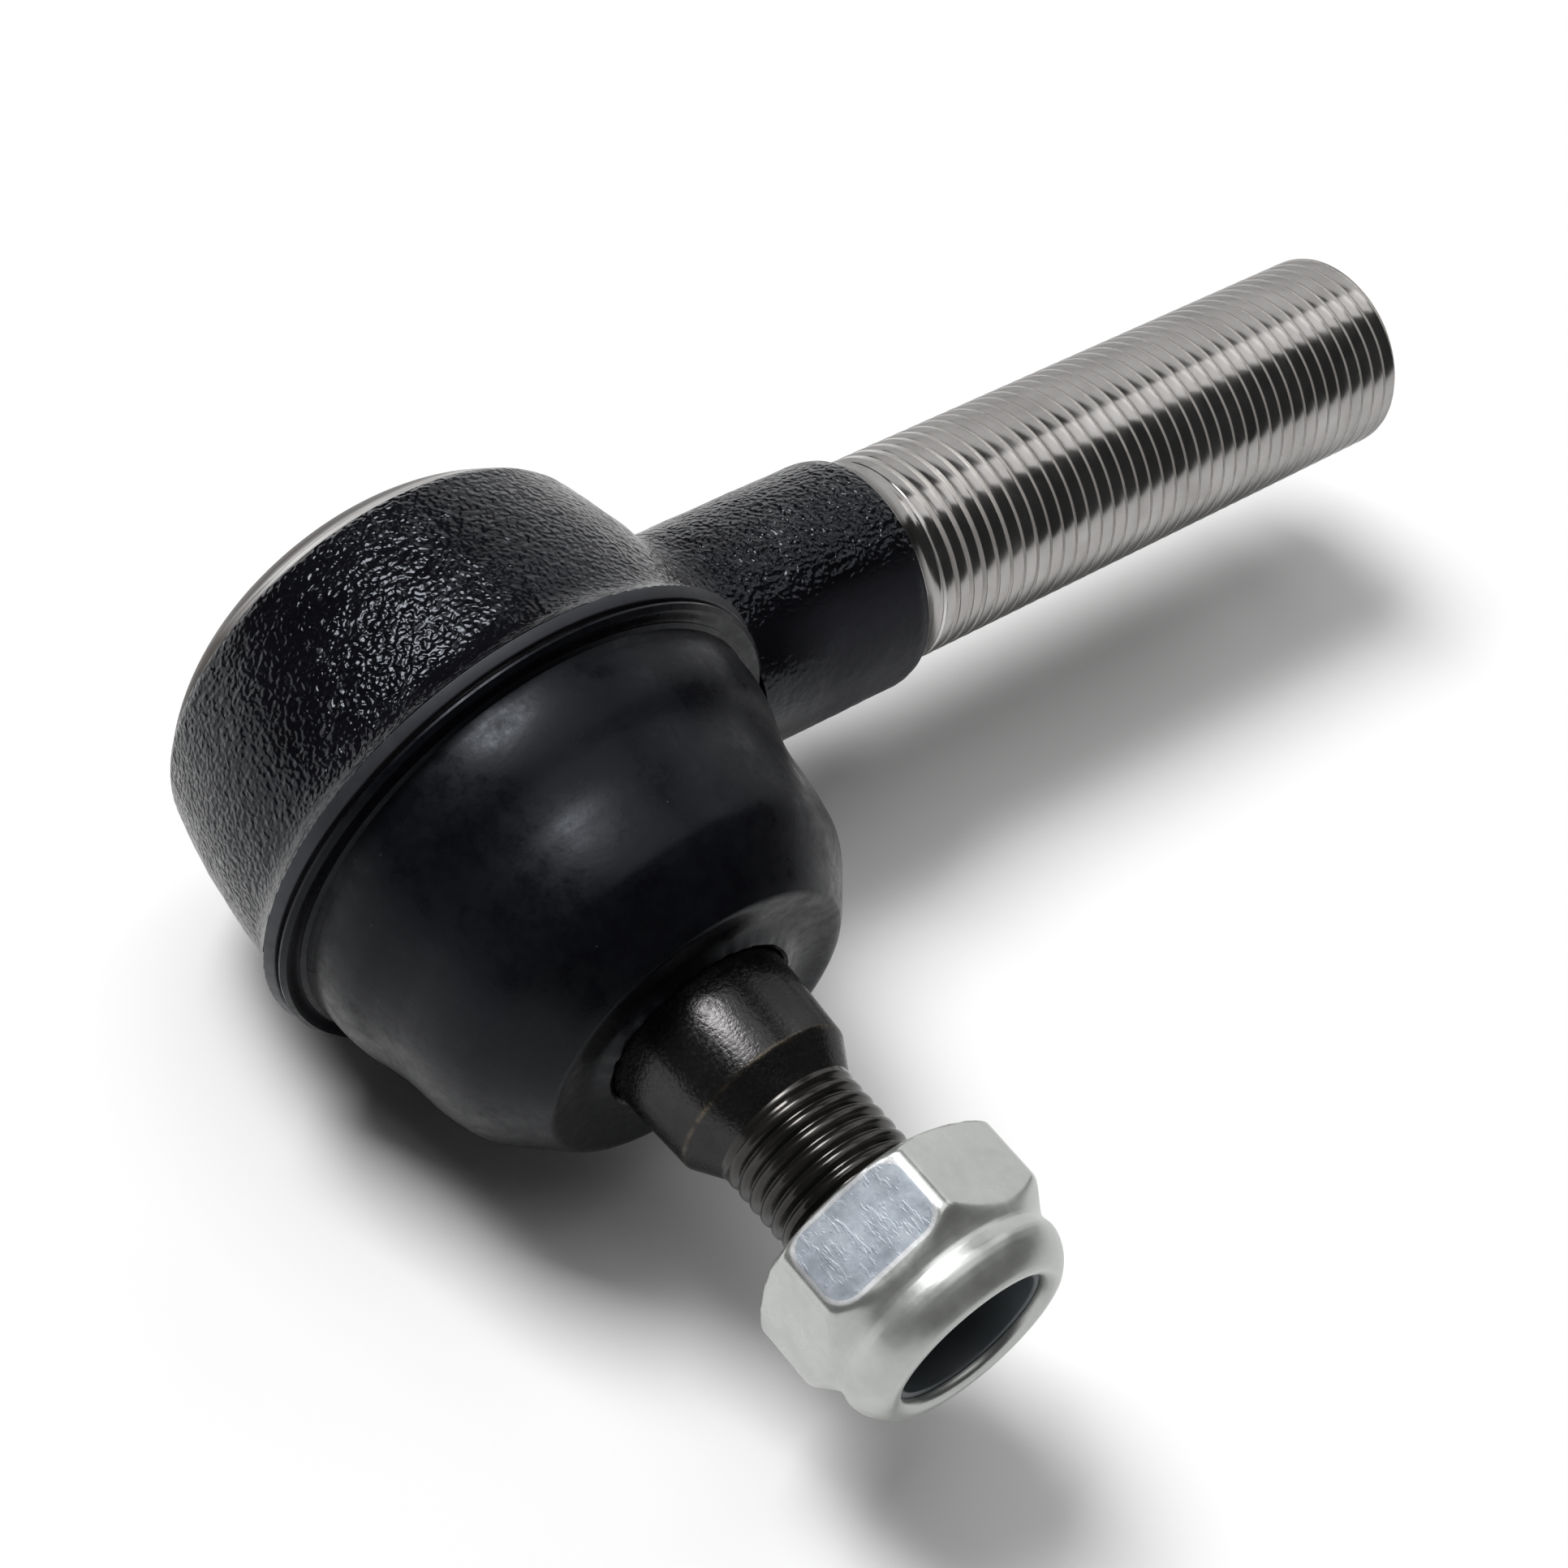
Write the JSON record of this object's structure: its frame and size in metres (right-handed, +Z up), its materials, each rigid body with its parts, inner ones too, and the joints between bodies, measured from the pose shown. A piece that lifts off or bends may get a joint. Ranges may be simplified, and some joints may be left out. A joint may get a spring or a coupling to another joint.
{
  "type": "tie rod end",
  "caption": "Tie rod end: ball stud with taper, threaded end and lock nut, turning in a forged housing with a rubber boot and a threaded shank.",
  "frame": {"origin": "centre of the ball", "axes": "+X along the threaded shank, away from the head; -Y along the ball stud, towards the lock nut; +Z up when the part lies on its side"},
  "size_m": [0.1218, 0.0753, 0.0458],
  "materials": {
    "forging": "black coated forging with a cast texture; the shank and the rim are bare turned steel",
    "pressed_steel": "satin pressed steel",
    "seal_rubber": "matt",
    "spring_steel": "satin",
    "bearing_plastic": "matt acetal",
    "stud_steel": "dark phosphated steel with an oil film",
    "boot_rubber": "matt charcoal rubber",
    "ring_steel": "satin",
    "zinc_steel": "bright zinc plate",
    "nylon": "dark slate nylon"
  },
  "bodies": {
    "housing": {"housing": "forging", "end_plug": "pressed_steel", "plug_seal_ring": "seal_rubber", "preload_spring": "spring_steel", "pressure_pad": "bearing_plastic", "bearing_seat": "bearing_plastic", "boot_base_ring": "ring_steel"},
    "boot_rocker": {"boot": "boot_rubber"},
    "boot_collar": {"boot_neck_ring": "ring_steel"},
    "stud": {"ball_stud": "stud_steel"},
    "nut_carrier": {"lock_nut_insert": "nylon"},
    "nut": {"lock_nut": "zinc_steel"}
  },
  "joints": [
    {"name": "stud_swing_side", "type": "hinge", "parent": "housing", "child": "boot_rocker", "pos_m": [0, 0, 0], "axis": [0, 0, 1], "range_deg": [-18, 18], "deforming": ["boot"]},
    {"name": "stud_swing_up", "type": "hinge", "parent": "boot_rocker", "child": "boot_collar", "pos_m": [0, 0, 0], "axis": [1, 0, 0], "range_deg": [-18, 18]},
    {"name": "stud_spin", "type": "hinge", "parent": "boot_collar", "child": "stud", "pos_m": [0, 0, 0], "axis": [0, -1, 0], "continuous": true},
    {"name": "nut_travel", "type": "slide", "parent": "stud", "child": "nut_carrier", "axis": [0, -1, 0], "range_m": [-0.00876, 0.00751]},
    {"name": "nut_turn", "type": "hinge", "parent": "nut_carrier", "child": "nut", "pos_m": [0, 0, 0], "axis": [0, -1, 0], "range_deg": [-2520, 2160]}
  ],
  "couplings": [
    {"joint": "nut_travel", "follows": "nut_turn", "m_per_rad": 0.00019894}
  ]
}
